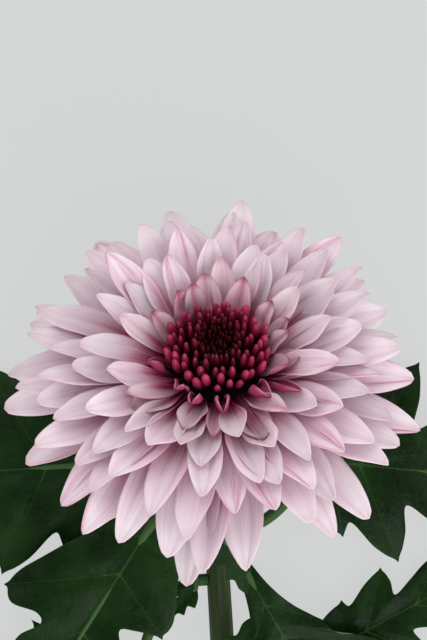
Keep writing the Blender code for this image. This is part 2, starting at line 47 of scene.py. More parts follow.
# Where the flower's own millimetre frame sits in the row's frame
SHIFT = np.array((6.98, -20.41, 0.0))

# The bloom, in its own frame: Z along its axis, origin at the base of the head
AXIS_ELEVATION = math.radians(50)
BASE_HEIGHT = 34.5
BASE_Y = 104.0
HEAD_RADIUS = 11.5
HEAD_HEIGHT = 7.5
GOLDEN_ANGLE = math.radians(137.508)

# Ray petals, from the innermost (0) to the outermost (1)
PETAL_COUNT = 130
TIP_ANGLE = (47.0, 101.0)
TIP_DISTANCE = (21.0, 55.0)
PETAL_WIDTH = (4.6, 11.6)
PETAL_BEND = (-46.0, 24.0)
PETAL_CUP = (66.0, 30.0)
PETAL_THICKNESS = 0.32
PETAL_GRID = 19
PETAL_FOOT = 0.25
FAR_SIDE_LIFT = 8.0
FAR_SIDE_REACH = 0.025
NEAR_SIDE_REACH = -0.02
RIGHT_SIDE_REACH = -0.05

# The innermost petals, short and often rolled, in degrees and millimetres: azimuth, the tip's radius and
# height, width, cup and bend
INNER_PETALS = (
    (218, 16.6, 15.2, 10.4, 150, -20),
    (254, 18.6, 13.2, 8.0, 150, -10),
    (201, 19.0, 13.2, 9.6, 150, -25),
    (176, 19.4, 12.6, 12.0, 155, -20),
    (139, 20.0, 12.8, 12.0, 150, 10),
    (120, 24.0, 11.6, 8.4, 155, -5),
    (20, 18.8, 20.2, 7.8, 48, -30),
    (49, 17.4, 18.4, 6.4, 60, -25),
    (79, 17.8, 16.6, 6.4, 62, -25),
    (299, 18.4, 17.6, 7.6, 52, -30),
    (323, 18.8, 19.0, 7.0, 56, -30),
    (338, 17.8, 19.6, 6.6, 58, -25),
    (69, 20.0, 17.0, 7.0, 62, -25),
    (108, 19.0, 15.0, 9.4, 84, -20),
    (351, 20.4, 19.0, 8.4, 50, -30),
    (96, 21.5, 13.0, 8.4, 66, -25),
    (183, 25.5, 9.5, 7.4, 105, -15),
    (200, 24.0, 10.0, 9.4, 72, -25),
    (232, 26.4, 10.5, 10.6, 52, -20),
    (156, 27.4, 9.2, 11.0, 48, -15),
)

# Centre florets
FINE_FLORETS = 140
CORE_SHARE = 0.5
CORE_RADIUS = 6.4
RING_RADIUS = 13.8
TIP_HEIGHT = 19.4
NEAR_SIDE_DROP = 2.4
BUTTON_RADIUS = 8.0
BUTTON_BASE = HEAD_HEIGHT + 0.3
BUTTON_TOP = 13.0
FLORET_ROOM = 0.9

# Calyx and stem
CALYX_DEPTH = 9.0
BRACT_ROWS = ((9, -7.4, -3.0, 6.0), (13, -4.6, -0.6, 8.6))
NECK_RADIUS = 2.7
STEM_RADIUS = 3.2
NECK_STRAIGHT = 16.0
STEM_LENGTH = 225.0
STEM_STEPS = 220
STEM_SIDES = 40
STEM_RIBS = 8
SEAT_GAP = 0.3

# Leaves
LEAF_THICKNESS = 0.45
STALK_SIDES = 14
MARGIN_STEPS = 7
BLADE_STEPS = 8

# Table, camera and light, in metres and watts
TABLE_COLOUR = (0.04, 0.0413, 0.0407, 1)
TABLE_GLOW = (0.975, 1.0, 0.988, 1)
TABLE_GLOW_STRENGTH = 0.60
CAMERA_LENS = 133
CAMERA_AIM = 22
CAMERA_OFFSET = (-0.0011, 0.0022, 0.6)
SKY_STRENGTH = 1.32
SKY = ((0.3, (1.0, 0.99, 0.985, 1)), (0.95, (0.50, 0.50, 0.50, 1)))
LIGHT_TARGET = Vector((0, 0.09, 0.03))
LIGHT_SIZE = 0.9
LIGHTS = (
    ("key", (-0.40, 0.80, 0.95), 6.6),
    ("fill", (0.85, 0.15, 0.75), 5.0),
    ("front", (0.35, -0.75, 0.8), 11.6),
)

AXIS = Vector((0, math.cos(AXIS_ELEVATION), math.sin(AXIS_ELEVATION)))
BASE = Vector((0, BASE_Y, BASE_HEIGHT))


# Numbers and shapes

def mix(ends, share):
    return ends[0] + (ends[1] - ends[0]) * share


def smooth(share):
    share = np.clip(share, 0, 1)
    return share * share * (3 - 2 * share)


def off_table(height, lowest, softness=1.6):
    """A height eased upwards where it nears the lowest that it may have."""
    return 0.5 * (height + lowest + np.sqrt((height - lowest) ** 2 + softness**2))


def to_table(points):
    """Points of the bloom's own frame, leant over to where the bloom faces."""
    x, y, z = points[..., 0], points[..., 1], points[..., 2]
    sine, cosine = math.sin(AXIS_ELEVATION), math.cos(AXIS_ELEVATION)
    return np.stack([x, BASE_Y + z * cosine + y * sine, BASE_HEIGHT + z * sine - y * cosine], axis=-1)


def normals_of(grid):
    """Unit normals of a grid of points, towards the side that a petal shows to the bloom's axis."""
    down = np.gradient(grid, axis=0)
    over = np.gradient(grid, axis=1)
    over[-1] = over[-2]
    over[0] = over[1]
    normal = np.cross(over, down)
    return normal / np.maximum(np.linalg.norm(normal, axis=-1, keepdims=True), 1e-9)


class Shapes:
    """Points, faces and per-point values gathered for one mesh."""

    def __init__(self):
        self.points, self.faces, self.values, self.count = [], [], {}, 0

    def add(self, points, faces, **values):
        points = np.asarray(points, float).reshape(-1, 3)
        self.points.append(points)
        self.faces.append(np.asarray(faces, np.int64) + self.count)
        for key, value in values.items():
            value = np.asarray(value, float).ravel()
            self.values.setdefault(key, []).append(np.broadcast_to(value, len(points)))
        self.count += len(points)

    def add_sheet(self, grid, thickness, **values):
        """A thin closed solid round a grid of points, thinner towards the grid's edges."""
        rows, columns = grid.shape[:2]
        normal = normals_of(grid)
        edge = np.abs(np.linspace(-1, 1, columns))[None, :, None] ** 6
        half = 0.5 * thickness * (1 - 0.7 * edge)
        points = np.stack([grid + normal * half, grid - normal * half]).reshape(-1, 3)
        index = np.arange(rows * columns).reshape(rows, columns)
        under = index + rows * columns
        top = np.stack([index[:-1, :-1], index[:-1, 1:], index[1:, 1:], index[1:, :-1]], axis=-1)
        low = np.stack([under[:-1, :-1], under[1:, :-1], under[1:, 1:], under[:-1, 1:]], axis=-1)
        ring = np.concatenate([index[0, :-1], index[:-1, -1], index[-1, :0:-1], index[:0:-1, 0]])
        after = np.roll(ring, -1)
        rim = np.stack([ring, ring + rows * columns, after + rows * columns, after], axis=-1)
        for key, value in values.items():
            values[key] = np.tile(np.broadcast_to(value, (rows, columns)).ravel(), 2)
        values["inner"] = np.repeat((1.0, 0.0), rows * columns)
        self.add(points, np.concatenate([top.reshape(-1, 4), low.reshape(-1, 4), rim]), **values)

    def add_tube(self, centres, radii, sides, ribs=None, **values):
        """A closed tube along points, with a point of its own at each end."""
        centres = np.asarray(centres, float)
        count = len(centres)
        heading = np.gradient(centres, axis=0)
        heading /= np.linalg.norm(heading, axis=1, keepdims=True)
        side = np.cross(heading, (0.0, 0.0, 1.0))
        side /= np.maximum(np.linalg.norm(side, axis=1, keepdims=True), 1e-9)
        rise = np.cross(side, heading)
        turn = 2 * np.pi * np.arange(sides) / sides
        ribs = np.ones(sides) if ribs is None else ribs
        radius = np.asarray(radii, float)[:, None] * ribs[None, :]
        ring = side[:, None] * np.cos(turn)[None, :, None] + rise[:, None] * np.sin(turn)[None, :, None]
        points = centres[:, None] + ring * radius[..., None]
        index = np.arange(count * sides).reshape(count, sides)
        near, far = index[:-1], index[1:]
        walls = np.stack([near, np.roll(near, -1, 1), np.roll(far, -1, 1), far], axis=-1)
        ends = np.array([centres[0], centres[-1]])
        first, last = count * sides, count * sides + 1
        caps = [[first, b, a, a] for a, b in zip(index[0], np.roll(index[0], -1))]
        caps += [[last, a, b, b] for a, b in zip(index[-1], np.roll(index[-1], -1))]
        every = {}
        for key, value in values.items():
            value = np.broadcast_to(np.asarray(value, float), (count,))
            every[key] = np.concatenate([np.repeat(value, sides), value[[0, -1]]])
        around = np.concatenate([np.tile(np.arange(sides) / sides, count), [0, 0]])
        points = np.concatenate([points.reshape(-1, 3), ends])
        faces = np.concatenate([walls.reshape(-1, 4), caps])
        self.add(points, faces, around=around, **every)

    def build(self, name, material, node):
        points = (np.concatenate(self.points) + SHIFT) * MM
        faces = [tuple(dict.fromkeys(face)) for face in np.concatenate(self.faces).tolist()]
        mesh = bpy.data.meshes.new(name)
        mesh.from_pydata(points.tolist(), [], faces)
        mesh.polygons.foreach_set("use_smooth", np.ones(len(mesh.polygons), bool))
        for key, value in self.values.items():
            layer = mesh.attributes.new(key, "FLOAT", "POINT")
            layer.data.foreach_set("value", np.concatenate(value).astype(np.float32))
        mesh.materials.append(material)
        mesh.update()
        obj = bpy.data.objects.new(name, mesh)
        bpy.context.scene.collection.objects.link(obj)
        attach(obj, "root")
        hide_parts(node)


# Materials

class Shader:
    """A material's node tree, built by short calls."""

    def __init__(self, name):
        self.material = bpy.data.materials.new(name)
        self.material.use_nodes = True
        self.tree = self.material.node_tree
        self.shader = self.tree.nodes["Principled BSDF"]
        self.out = self.tree.nodes["Material Output"]

    def put(self, socket, value):
        if isinstance(value, bpy.types.NodeSocket):
            self.tree.links.new(value, socket)
        else:
            socket.default_value = value

    def node(self, kind, inputs=None, **settings):
        node = self.tree.nodes.new(kind)
        for key, value in settings.items():
            setattr(node, key, value)
        for key, value in (inputs or {}).items():
            self.put(node.inputs[key], value)
        return node

    def value(self, name):
        return self.node("ShaderNodeAttribute", attribute_name=name).outputs["Fac"]

    def set(self, name, value):
        self.put(self.shader.inputs[name], value)

    def math(self, operation, a, b=0.0):
        return self.node("ShaderNodeMath", {0: a, 1: b}, operation=operation).outputs[0]

    def times(self, a, b):
        return self.math("MULTIPLY", a, b)

    def plus(self, a, b):
        return self.math("ADD", a, b)

    def ramp(self, fac, stops):
        node = self.node("ShaderNodeValToRGB", {"Fac": fac})
        ramp = node.color_ramp
        while len(ramp.elements) < len(stops):
            ramp.elements.new(1.0)
        for element, (place, colour) in zip(ramp.elements, stops):
            element.position = place
            element.color = (*colour, 1) if isinstance(colour, tuple) else (colour, colour, colour, 1)
        return node.outputs["Color"]

    def blend(self, fac, a, b, mode="MIX"):
        node = self.node("ShaderNodeMix", data_type="RGBA", blend_type=mode)
        self.put(node.inputs[0], fac)
        for socket, value in ((node.inputs[6], a), (node.inputs[7], b)):
            self.put(socket, (*value, 1) if isinstance(value, tuple) else value)
        return node.outputs[2]

    def tint(self, colour, by):
        return self.blend(1.0, colour, by, "MULTIPLY")

    def spot(self, x, y=0.0, z=0.0):
        return self.node("ShaderNodeCombineXYZ", {0: x, 1: y, 2: z}).outputs[0]

    def noise(self, vector, scale=1.0, detail=3.0, rough=0.5):
        inputs = {"Vector": vector, "Scale": scale, "Detail": detail, "Roughness": rough}
        return self.node("ShaderNodeTexNoise", inputs).outputs["Fac"]

    def bump(self, height, strength, distance):
        inputs = {"Height": height, "Strength": strength, "Distance": distance}
        return self.node("ShaderNodeBump", inputs).outputs["Normal"]


def petal_material():
    s = Shader("petal_pink")
    along, across, inner = s.value("along"), s.value("across"), s.value("inner")
    age, chance = s.value("age"), s.value("chance")
    shift = s.times(chance, 37.0)
    lines = s.noise(s.spot(s.times(across, 9.0), s.times(along, 1.6), shift), 1.0, 4.0, 0.6)
    fine = s.noise(s.spot(s.times(across, 26.0), s.times(along, 2.5), shift), 1.0, 2.0)
    broad = s.noise(s.spot(across, along, s.times(chance, 91.0)), 1.3, 1.0)
    off = s.math("ABSOLUTE", across)
    young = s.ramp(age, ((0.08, 1.0), (0.20, 0.0)))
    # How pale it is, from the base outwards, broken up by fine lines and broad patches. The near-black start
    # at the base is painted shade deep in the bloom; the magenta after it is the petals' own colour.
    reach = s.plus(along, s.times(s.math("SUBTRACT", lines, 0.5), 0.34))
    reach = s.plus(reach, s.times(s.math("SUBTRACT", broad, 0.5), 0.45))
    face = s.ramp(
        reach,
        (
            (0.00, (0.020, 0.0006, 0.003)),
            (0.12, (0.14, 0.005, 0.026)),
            (0.24, (0.44, 0.030, 0.115)),
            (0.38, (0.66, 0.25, 0.37)),
            (0.52, (0.78, 0.60, 0.69)),
            (0.68, (0.85, 0.80, 0.84)),
            (0.90, (0.90, 0.90, 0.91)),
        ),
    )
    back = s.ramp(
        reach,
        (
            (0.00, (0.020, 0.0006, 0.003)),
            (0.12, (0.18, 0.006, 0.036)),
            (0.34, (0.54, 0.10, 0.24)),
            (0.58, (0.74, 0.51, 0.60)),
            (0.90, (0.80, 0.74, 0.78)),
        ),
    )
    back = s.blend(s.times(young, 0.75), back, (0.36, 0.030, 0.13))
    colour = s.blend(inner, back, face)
    flush = s.blend(young, WHITE, (1.0, 0.80, 0.87))
    colour = s.tint(colour, flush)
    rolled = s.times(s.ramp(age, ((0.040, 1.0), (0.044, 0.0))), s.ramp(lines, ((0.3, 0.55), (0.6, 0.95))))
    # The rolled petals' lower halves are darkened to near black: painted shade deep in the pit.
    depth = s.blend(rolled, WHITE, s.ramp(along, ((0.48, (0.06, 0.03, 0.03)), (0.80, WHITE))))
    # Young petals' claws darkened to near black towards the base: painted shade in the pit.
    pit_shade = s.ramp(along, ((0.25, (0.05, 0.02, 0.02)), (0.50, WHITE)))
    colour = s.tint(colour, s.blend(young, WHITE, pit_shade))
    colour = s.tint(colour, depth)
    rolled = s.times(rolled, s.ramp(along, ((0.45, 0.0), (0.72, 1.0))))
    colour = s.blend(rolled, colour, (0.50, 0.050, 0.19))
    streak = s.ramp(fine, ((0.42, WHITE), (0.68, (0.95, 0.83, 0.89))))
    colour = s.tint(colour, streak)
    stripe = s.ramp(off, ((0.05, 1.0), (0.45, 0.0)))
    stripe = s.times(stripe, s.times(young, s.ramp(lines, ((0.3, 0.5), (0.6, 1.0)))))
    stripe = s.times(stripe, s.ramp(along, ((0.30, 0.0), (0.55, 0.7))))
    colour = s.blend(stripe, colour, (0.46, 0.05, 0.16))
    apex = s.times(s.ramp(along, ((0.90, 0.0), (1.0, 1.0))), s.ramp(young, ((0.0, 0.16), (1.0, 0.9))))
    colour = s.blend(apex, colour, (0.36, 0.03, 0.11))
    edge = s.times(s.ramp(off, ((0.86, 0.0), (1.0, 1.0))), s.ramp(along, ((0.50, 0.0), (0.75, 1.0))))
    margin = s.times(edge, s.ramp(young, ((0.0, 0.05), (1.0, 0.55))))
    colour = s.blend(margin, colour, (0.34, 0.03, 0.10))
    rim = s.times(s.ramp(off, ((0.78, 0.0), (0.98, 1.0))), s.ramp(rolled, ((0.0, 0.0), (0.6, 0.9))))
    rim = s.times(rim, s.ramp(along, ((0.76, 0.0), (0.92, 1.0))))
    colour = s.blend(rim, colour, (0.66, 0.30, 0.44))
    blotch = s.times(s.ramp(chance, ((0.80, 0.0), (0.84, 1.0))), s.ramp(lines, ((0.45, 0.2), (0.65, 1.0))))
    blotch = s.times(blotch, s.ramp(broad, ((0.46, 0.0), (0.60, 1.0))))
    blotch = s.times(blotch, s.ramp(along, ((0.45, 0.0), (0.80, 0.8))))
    colour = s.blend(blotch, colour, (0.55, 0.11, 0.29))
    tone = s.ramp(chance, ((0.0, 0.90), (1.0, 1.0)))
    colour = s.tint(colour, tone)
    s.set("Base Color", colour)
    s.set("Roughness", s.ramp(along, ((0.2, 0.95), (0.45, 0.5))))
    s.set("Specular IOR Level", 0.3)
    normal = s.bump(s.plus(lines, s.times(fine, 0.5)), 0.35, 0.0006)
    s.set("Normal", normal)
    glow = s.tint(colour, (1.0, 0.84, 0.91))
    through = s.node("ShaderNodeBsdfTranslucent", {"Color": glow, "Normal": normal})
    both = s.node("ShaderNodeMixShader", {"Fac": 0.5})
    s.put(both.inputs[1], s.shader.outputs[0])
    s.put(both.inputs[2], through.outputs[0])
    s.put(s.out.inputs["Surface"], both.outputs[0])
    return s.material


def floret_material():
    s = Shader("floret_crimson")
    along, age, chance, around = s.value("along"), s.value("age"), s.value("chance"), s.value("around")
    shift = s.times(chance, 41.0)
    lines = s.noise(s.spot(s.times(around, 12.0), s.times(along, 1.2), shift), 1.0, 3.0)
    reach = s.plus(along, s.times(s.math("SUBTRACT", lines, 0.5), 0.25))
    reach = s.plus(reach, s.ramp(age, ((0.70, 0.0), (1.0, 0.14))))
    # Near black low down to crimson at the tip: the crimson is the florets' own colour, and the near-black
    # lower parts are painted shade between the packed florets.
    colour = s.ramp(
        reach,
        (
            (0.42, (0.003, 0.0003, 0.001)),
            (0.62, (0.030, 0.0009, 0.004)),
            (0.82, (0.15, 0.005, 0.024)),
            (1.0, (0.26, 0.016, 0.056)),
        ),
    )
    pick = s.math("FRACT", s.times(chance, 7.0))
    tone = s.ramp(pick, ((0.0, (0.60, 0.55, 0.50)), (1.0, (1.15, 1.15, 1.2))))
    colour = s.tint(colour, tone)
    dark = s.ramp(age, ((0.30, (0.12, 0.024, 0.032)), (0.85, WHITE)))
    colour = s.tint(colour, dark)
    s.set("Base Color", colour)
    lit = s.times(s.ramp(along, ((0.3, 0.0), (0.6, 1.0))), s.ramp(age, ((0.25, 0.0), (0.5, 1.0))))
    s.set("Roughness", s.ramp(lit, ((0.0, 0.55), (1.0, 0.28))))
    s.set("Specular IOR Level", s.ramp(age, ((0.25, 0.08), (0.7, 0.26))))
    s.set("Normal", s.bump(lines, 0.3, 0.0005))
    return s.material


def leaf_material():
    s = Shader("leaf_green")
    rib, inner = s.value("rib"), s.value("inner")
    where = s.node("ShaderNodeTexCoord").outputs["Object"]
    cells = s.node("ShaderNodeTexVoronoi", {"Vector": where, "Scale": 520.0}, feature="DISTANCE_TO_EDGE")
    net = s.ramp(cells.outputs["Distance"], ((0.0, 1.0), (0.10, 0.0)))
    vein = s.ramp(rib, ((0.02, 1.0), (0.11, 0.0)))
    patches = s.noise(where, 45.0, 5.0, 0.65)
    top = s.ramp(patches, ((0.35, (0.0008, 0.0060, 0.0006)), (0.65, (0.0048, 0.0210, 0.0026))))
    low = s.ramp(patches, ((0.3, (0.045, 0.085, 0.035)), (0.7, (0.07, 0.12, 0.05))))
    colour = s.blend(inner, low, top)
    colour = s.blend(s.times(net, 0.04), colour, (0.03, 0.06, 0.02))
    colour = s.blend(s.times(vein, 0.5), colour, (0.024, 0.062, 0.015))
    s.set("Base Color", colour)
    s.set("Roughness", s.ramp(patches, ((0.35, 0.24), (0.65, 0.42))))
    s.set("Specular IOR Level", 0.06)
    height = s.plus(s.times(net, -0.12), s.noise(where, 420.0, 3.0))
    s.set("Normal", s.bump(height, 0.35, 0.0006))
    return s.material


def stem_material():
    s = Shader("stem_green")
    along, around = s.value("along"), s.value("around")
    where = s.node("ShaderNodeTexCoord").outputs["Object"]
    lines = s.noise(s.spot(s.times(around, 24.0), s.times(along, 12.0)), 1.0, 4.0)
    colour = s.ramp(lines, ((0.3, (0.006, 0.020, 0.004)), (0.7, (0.021, 0.060, 0.010))))
    blush = s.ramp(s.noise(where, 30.0, 2.0), ((0.45, 0.0), (0.75, 1.0)))
    colour = s.blend(s.times(blush, 0.4), colour, (0.040, 0.020, 0.012))
    s.set("Base Color", colour)
    s.set("Roughness", 0.5)
    s.set("Specular IOR Level", 0.2)
    s.set("Normal", s.bump(lines, 0.3, 0.0008))
    return s.material


# Ray petals

def petal_rule(index, rng):
    """One petal's place and form, by its number from the middle."""
    share = index / (PETAL_COUNT - 1)
    azimuth = index * GOLDEN_ANGLE + math.radians(rng.uniform(-6, 6))
    angle = mix(TIP_ANGLE, share) + rng.uniform(-4, 4)
    angle -= FAR_SIDE_LIFT * math.cos(azimuth)
    distance = mix(TIP_DISTANCE, share**0.66) * rng.uniform(0.95, 1.05)
    far, near = max(math.cos(azimuth), 0), max(-math.cos(azimuth), 0)
    distance *= 1 + FAR_SIDE_REACH * far + NEAR_SIDE_REACH * near
    distance *= 1 + RIGHT_SIDE_REACH * math.sin(azimuth)
    tip = (distance * math.sin(math.radians(angle)), distance * math.cos(math.radians(angle)))
    blunt = 0.0
    root = (mix((8.2, 9.2), share), mix((HEAD_HEIGHT - 1.3, 1.6), share))
    width = mix(PETAL_WIDTH, 1 - (1 - share) ** 4) * rng.uniform(0.92, 1.08)
    bend = mix(PETAL_BEND, share**0.6) + rng.uniform(-10, 10)
    cup = mix(PETAL_CUP, share**0.7) + 45 * (1 - share) * rng.random() ** 4
    if index < len(INNER_PETALS):
        turn, *tip, width, cup, bend = INNER_PETALS[index]
        azimuth = math.radians(turn)
        blunt = 0.15
    return {
        "azimuth": azimuth,
        "root": root,
        "lean": math.atan2(tip[0] - root[0], tip[1] - root[1]),
        "length": math.hypot(tip[0] - root[0], tip[1] - root[1]) * 1.04,
        "width": width,
        "bend": math.radians(bend),
        "cup": math.radians(min(cup, 165)),
        "twist": math.radians(rng.uniform(-12, 12)),
        "sway": rng.uniform(-0.08, 0.08),
        "tip": rng.uniform(0.40, 0.64) - blunt,
        "room": 0.2 * (index % 4),
    }


def half_width(along, tip):
    """A petal's half width along its length, as a share of the widest: a narrow claw, then a point."""
    claw = 0.18 + 0.82 * smooth(along / 0.62)
    late = (along - 0.6) / 0.4
    point = np.clip(1 - late**2, 0.0006, 1) ** tip * (1 - 0.2 * smooth((late - 0.4) / 0.6))
    return np.where(along < 0.6, claw, claw * point)


def petal_surface(petal, along, across):
    count = 40
    steps = np.linspace(0, 1, count + 1)
    heading = petal["lean"] + petal["bend"] * (steps - 0.5)
    radial = np.concatenate([[0], np.cumsum(0.5 * (np.sin(heading[1:]) + np.sin(heading[:-1]))) / count])
    axial = np.concatenate([[0], np.cumsum(0.5 * (np.cos(heading[1:]) + np.cos(heading[:-1]))) / count])
    here = np.interp(along, steps, heading)
    out = petal["root"][0] + petal["length"] * np.interp(along, steps, radial)
    up = petal["root"][1] + petal["length"] * np.interp(along, steps, axial)
    half = 0.5 * petal["width"] * half_width(along, petal["tip"])
    cup = np.minimum(petal["cup"] * (1.35 - 0.5 * along), 2.9)
    sideways = half * np.sin(cup * across) / cup
    inwards = half * (1 - np.cos(cup * across)) / cup
    turn = petal["twist"] * along
    side = sideways * np.cos(turn) - inwards * np.sin(turn) + petal["sway"] * petal["length"] * along**2
    rise = sideways * np.sin(turn) + inwards * np.cos(turn)
    out = out - rise * np.cos(here)
    up = up + rise * np.sin(here)
    sine, cosine = math.sin(petal["azimuth"]), math.cos(petal["azimuth"])
    return np.stack([out * sine + side * cosine, out * cosine - side * sine, up], axis=-1)


def centre_room(height):
    """The radius at each height that parts petals from centre florets, like the inside of a bowl."""
    height = np.maximum(height - HEAD_HEIGHT, 0)
    return 10.2 + 4.5 * (1 - np.exp(-height / 2.6)) + 0.07 * height


def clear_of_centre(points, room):
    """Petal points kept outside the centre florets."""
    radius = np.hypot(points[..., 0], points[..., 1])
    least = centre_room(points[..., 2]) + room
    moved = points.copy()
    moved[..., :2] *= (off_table(radius, least, 0.6) / radius)[..., None]
    return moved


def petal_grid(petal, alongs, acrosses):
    along, across = np.meshgrid(alongs, acrosses, indexing="ij")
    points = petal_surface(petal, along, across)
    weight = smooth(along / 0.25)[..., None]
    points = to_table(points + (clear_of_centre(points, petal["room"]) - points) * weight)
    points[..., 2] = off_table(points[..., 2], 0.0)
    return points


def make_petals(material):
    rng = random.Random(SEED)
    fine = random.Random(SEED + 5)
    shapes = Shapes()
    alongs = 1 - (1 - np.linspace(0, 1, PETAL_GRID)) ** 1.35
    acrosses = np.linspace(-1, 1, PETAL_GRID)
    middle = PETAL_GRID // 2
    along, across = np.meshgrid(alongs, acrosses, indexing="ij")
    for index in range(PETAL_COUNT):
        petal = petal_rule(index, rng)
        inner = index < len(INNER_PETALS)
        loose = 0.4 if inner else 1.0
        petal["bend"] += math.radians(fine.uniform(-10, 10)) * loose
        petal["twist"] += math.radians(fine.uniform(-22, 22)) * loose
        petal["lean"] += math.radians(fine.uniform(-2.5, 2.5)) * loose
        petal["sway"] *= 0 if inner else 1
        grid = petal_grid(petal, alongs, acrosses)
        normal = normals_of(grid)
        ridge = normal[:, middle : middle + 1]
        depth = fine.uniform(0.15, 0.55) * petal["width"] / 11
        band = np.abs(across * 1.5 - np.round(across * 1.5)) * 2
        folds = 1 - band**2 if fine.random() < 0.75 else -np.cos(across * math.pi * fine.uniform(1.0, 2.0))
        crease = depth * folds * smooth((along - 0.15) / 0.3) * (1 - 0.7 * across**4)
        size = fine.uniform(0.05, 0.35)
        wave = size * np.sin(along * fine.uniform(9, 16) + fine.uniform(0, 6)) * across**3
        curl = fine.uniform(-1.0, 2.2) * smooth((along - 0.7) / 0.3)
        fade = half_width(along, petal["tip"])
        grid = grid + normal * ((crease + wave * smooth((along - 0.3) / 0.3)) * fade)[..., None]
        grid = grid + ridge * curl[..., None]
        grid[..., 2] = np.maximum(grid[..., 2], PETAL_FOOT)
        age = index / (PETAL_COUNT - 1)
        shapes.add_sheet(grid, PETAL_THICKNESS, along=along, across=across, age=age, chance=fine.random())
    profile = [
        (HEAD_RADIUS - 1.8, HEAD_HEIGHT),
        (HEAD_RADIUS, 4.2),
        (HEAD_RADIUS + 0.3, 1.8),
        (HEAD_RADIUS - 1.5, 0.0),
    ]
    # The head takes the near-black start of the petal colour, painted shade at the bottom of the bloom.
    add_turned(shapes, profile, 40, along=0.0, across=0.0, age=0.0, chance=0.5, inner=1.0)
    shapes.build("ray_petals_fine", material, "ray_petals")


def add_turned(shapes, profile, steps, **values):
    """A closed solid turned about the bloom's axis, from (radius, height) pairs."""
    turn = 2 * np.pi * np.arange(steps) / steps
    rings = np.array([[(r * math.cos(t), r * math.sin(t), h) for t in turn] for r, h in profile])
    index = np.arange(len(profile) * steps).reshape(len(profile), steps)
    upper, lower = index[:-1], index[1:]
    walls = np.stack([upper, lower, np.roll(lower, -1, 1), np.roll(upper, -1, 1)], axis=-1)
    middle = [(0, 0, profile[0][1]), (0, 0, profile[-1][1])]
    first = len(profile) * steps
    caps = [[first, a, b, b] for a, b in zip(index[0], np.roll(index[0], -1))]
    caps += [[first + 1, b, a, a] for a, b in zip(index[-1], np.roll(index[-1], -1))]
    points = to_table(np.concatenate([rings.reshape(-1, 3), middle]))
    shapes.add(points, np.concatenate([walls.reshape(-1, 4), caps]), **values)


# Centre florets

def floret_rule(index, count, rng):
    share = (index + 0.5) / count
    core = min(share / CORE_SHARE, 1)
    ring = max(share - CORE_SHARE, 0) / (1 - CORE_SHARE)
    root = (7.4 * math.sqrt(share), mix((11.6, 8.8), share))
    reach = math.sqrt(core * CORE_RADIUS**2 + ring * (RING_RADIUS**2 - CORE_RADIUS**2))
    reach += rng.uniform(-0.4, 0.4)
    azimuth = index * GOLDEN_ANGLE + math.radians(rng.uniform(-5, 5))
    rise = TIP_HEIGHT - 1.2 * (1 - core) - 1.8 * ring + rng.uniform(-1.1, 1.1)
    rise += NEAR_SIDE_DROP * ring * min(math.cos(azimuth), 0)
    return {
        "azimuth": azimuth,
        "root": root,
        "elbow": (mix((reach, 0.93 * reach), ring), root[1] + 1.6 + rng.uniform(-0.3, 0.3)),
        "tip": (reach, rise),
        "width": (mix((1.1, 1.5), core) + 1.0 * ring) * rng.uniform(0.82, 1.18),
    }


def floret_line(floret, along):
    """Where a floret's middle is at a share of its length, outwards and upwards, and how it leans there."""
    root, elbow, tip = floret["root"], floret["elbow"], floret["tip"]
    early, mid, late = (1 - along) ** 2, 2 * along * (1 - along), along**2
    line = [early * a + mid * b + late * c for a, b, c in zip(root, elbow, tip)]
    steer = [(1 - along) * (b - a) + along * (c - b) for a, b, c in zip(root, elbow, tip)]
    return (*line, math.atan2(steer[0], steer[1]))


def within_centre(points):
    """Floret points kept inside the bowl that the petals stay out of."""
    radius = np.hypot(points[..., 0], points[..., 1])
    most = centre_room(points[..., 2]) - FLORET_ROOM
    wanted = most - off_table(most - radius, 0.0, 0.6)
    moved = points.copy()
    moved[..., :2] *= (np.minimum(wanted, radius) / np.maximum(radius, 0.01))[..., None]
    return moved


def make_centre(material):
    rng = random.Random(SEED + 1)
    fine = random.Random(SEED + 6)
    shapes = Shapes()
    sides = 12
    turn = 2 * np.pi * np.arange(sides) / sides
    alongs = np.array([0.0, 0.15, 0.3, 0.45, 0.6, 0.74, 0.85, 0.92, 0.97, 0.993])
    sizes = np.array([0.72, 0.76, 0.82, 0.88, 0.95, 1.0, 0.93, 0.78, 0.54, 0.28])
    for index in range(FINE_FLORETS):
        floret = floret_rule(index, FINE_FLORETS, rng)
        sine, cosine = math.sin(floret["azimuth"]), math.cos(floret["azimuth"])
        rings = []
        groove = fine.uniform(0, 6.28)
        for along, size in zip(np.append(alongs, 1.0), np.append(sizes, 0.0)):
            out, up, heading = floret_line(floret, along)
            dent = 1 - 0.16 * np.exp(-((np.cos((turn - groove) / 2) / 0.25) ** 2)) * smooth(along / 0.5)
            side = 0.5 * floret["width"] * size * np.cos(turn) * dent
            rise = 0.5 * floret["width"] * size * np.sin(turn) * dent
            radius = out - rise * math.cos(heading)
            x, y = radius * sine + side * cosine, radius * cosine - side * sine
            rings.append(np.stack([x, y, up + rise * math.sin(heading)], -1))
        rings = within_centre(np.array(rings))
        count = len(alongs)
        index_grid = np.arange(count * sides).reshape(count, sides)
        near, far = index_grid[:-1], index_grid[1:]
        walls = np.stack([near, np.roll(near, -1, 1), np.roll(far, -1, 1), far], axis=-1)
        last = count * sides
        caps = [[last, a, b, b] for a, b in zip(index_grid[-1], np.roll(index_grid[-1], -1))]
        points = to_table(np.concatenate([rings[:-1].reshape(-1, 3), rings[-1, :1]]))
        shapes.add(
            points,
            np.concatenate([walls.reshape(-1, 4), caps]),
            along=np.append(np.repeat(alongs, sides), 1.0),
            around=np.append(np.tile(np.arange(sides) / sides, count), 0.0),
            age=(index + 0.5) / FINE_FLORETS,
            chance=fine.random(),
        )
    profile = [(2.5, BUTTON_TOP), (5.6, 12.6), (7.6, 10.5), (BUTTON_RADIUS, BUTTON_BASE)]
    # The button takes the near-black low end of the floret colour, painted shade in the gaps between
    # florets.
    add_turned(shapes, profile, 40, along=0.2, around=0.0, age=0.6, chance=0.5)
    shapes.build("centre_florets_fine", material, "centre_florets")


# Calyx

